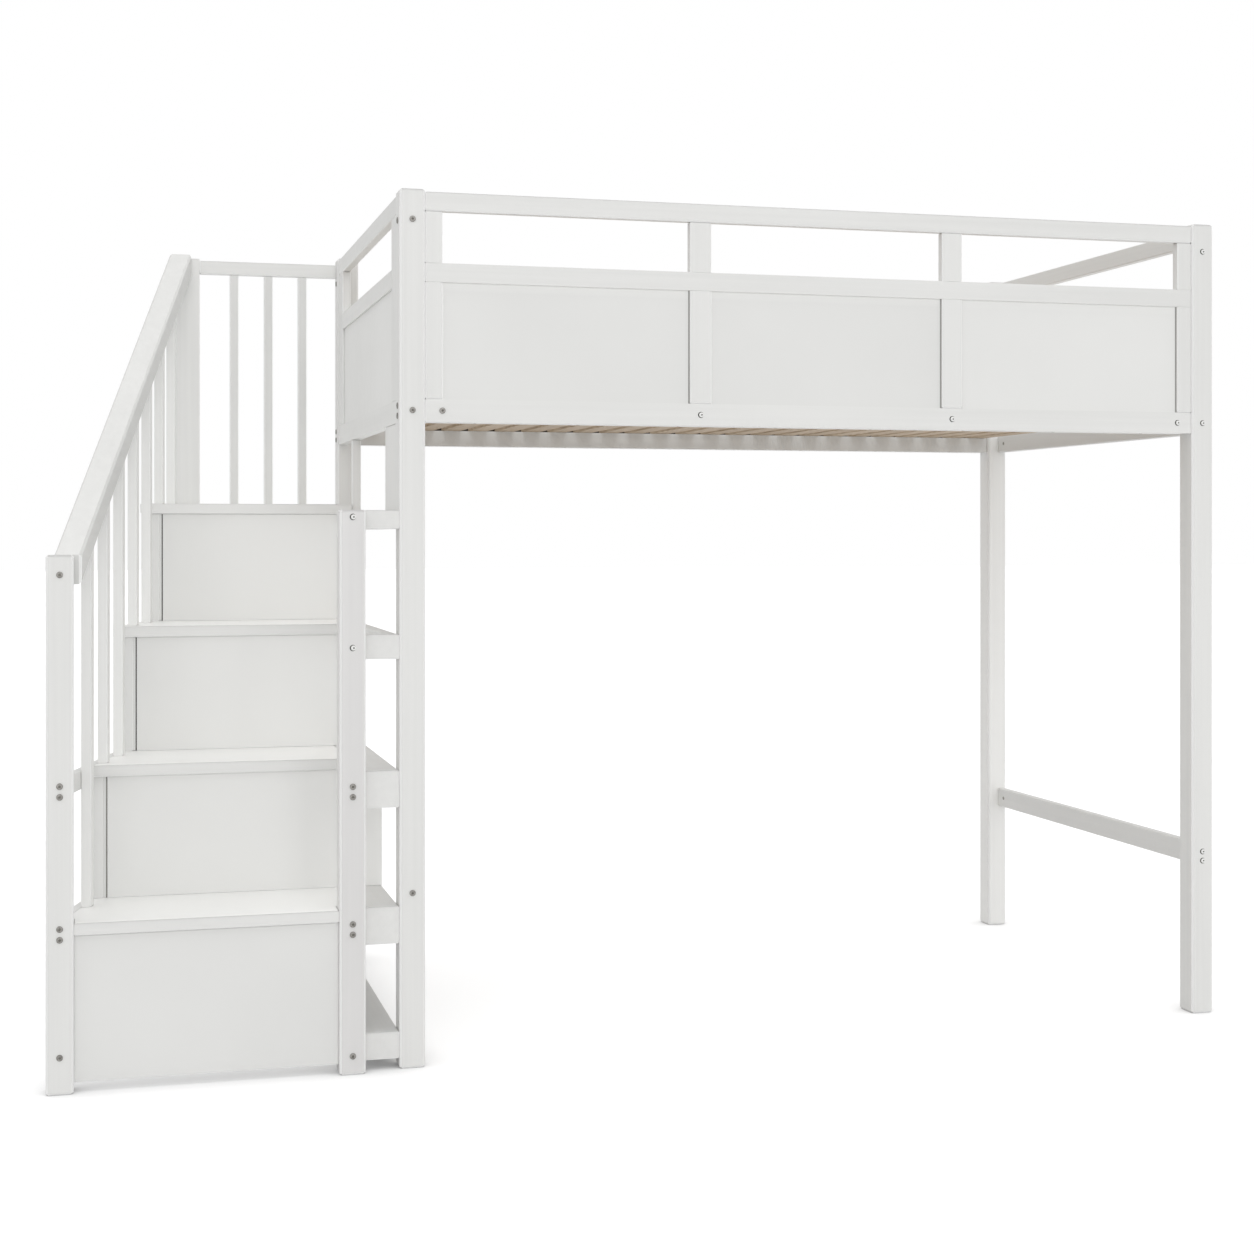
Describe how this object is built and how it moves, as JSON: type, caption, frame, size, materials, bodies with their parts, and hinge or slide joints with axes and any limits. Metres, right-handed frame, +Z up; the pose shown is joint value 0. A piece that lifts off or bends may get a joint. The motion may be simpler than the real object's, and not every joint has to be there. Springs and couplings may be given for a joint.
{
  "type": "loft bed",
  "caption": "Painted wooden loft bed with panelled guards, a slatted deck and a storage stair with a sloped handrail at its left end.",
  "frame": {"origin": "on the floor under the middle of the whole object's bounding box", "axes": "+X along the bed from the stair to the far end, +Y from the front to the rear, +Z up"},
  "size_m": [2.716, 1.13, 1.9],
  "materials": {
    "painted_frame": "white satin paint on solid wood",
    "painted_panels": "white satin paint on board",
    "slat_wood": "bare planed softwood"
  },
  "bodies": {
    "root": {"end_baluster": "painted_frame", "end_board": "painted_frame", "front_left_post": "painted_frame", "front_mid_rail": "painted_frame", "front_panel_1": "painted_panels", "front_panel_2": "painted_panels", "front_panel_3": "painted_panels", "front_right_post": "painted_frame", "front_side_rail": "painted_frame", "front_stile_1": "painted_frame", "front_stile_2": "painted_frame", "front_stile_3": "painted_frame", "front_stile_4": "painted_frame", "front_top_rail": "painted_frame", "handrail": "painted_frame", "left_end_bottom_rail": "painted_frame", "left_end_mid_rail": "painted_frame", "left_end_panel": "painted_panels", "left_end_stile_1": "painted_frame", "left_end_stile_2": "painted_frame", "left_end_top_rail": "painted_frame", "platform": "painted_frame", "rear_baluster_1": "painted_frame", "rear_baluster_2": "painted_frame", "rear_baluster_3": "painted_frame", "rear_guard_rail": "painted_frame", "rear_left_post": "painted_frame", "rear_right_post": "painted_frame", "rear_side_rail": "painted_frame", "rear_top_rail": "painted_frame", "right_end_bottom_rail": "painted_frame", "right_end_low_rail": "painted_frame", "right_end_mid_rail": "painted_frame", "right_end_top_rail": "painted_frame", "riser_1": "painted_panels", "riser_2": "painted_panels", "riser_3": "painted_panels", "riser_4": "painted_panels", "side_baluster_1": "painted_frame", "side_baluster_2": "painted_frame", "side_baluster_3": "painted_frame", "side_baluster_4": "painted_frame", "side_baluster_5": "painted_frame", "side_baluster_6": "painted_frame", "side_baluster_7": "painted_frame", "slat_roll": "slat_wood", "stair_back_panel": "painted_panels", "stair_front_right_post": "painted_frame", "stair_left_bar_1": "painted_frame", "stair_left_bar_2": "painted_frame", "stair_newel_post": "painted_frame", "stair_rear_left_board": "painted_frame", "stair_side_bar_1": "painted_frame", "stair_side_bar_2": "painted_frame", "stair_side_bar_3": "painted_frame", "stair_side_bar_4": "painted_frame", "stair_side_bar_5": "painted_frame", "tread_1": "painted_frame", "tread_2": "painted_frame", "tread_3": "painted_frame"}
  },
  "joints": []
}
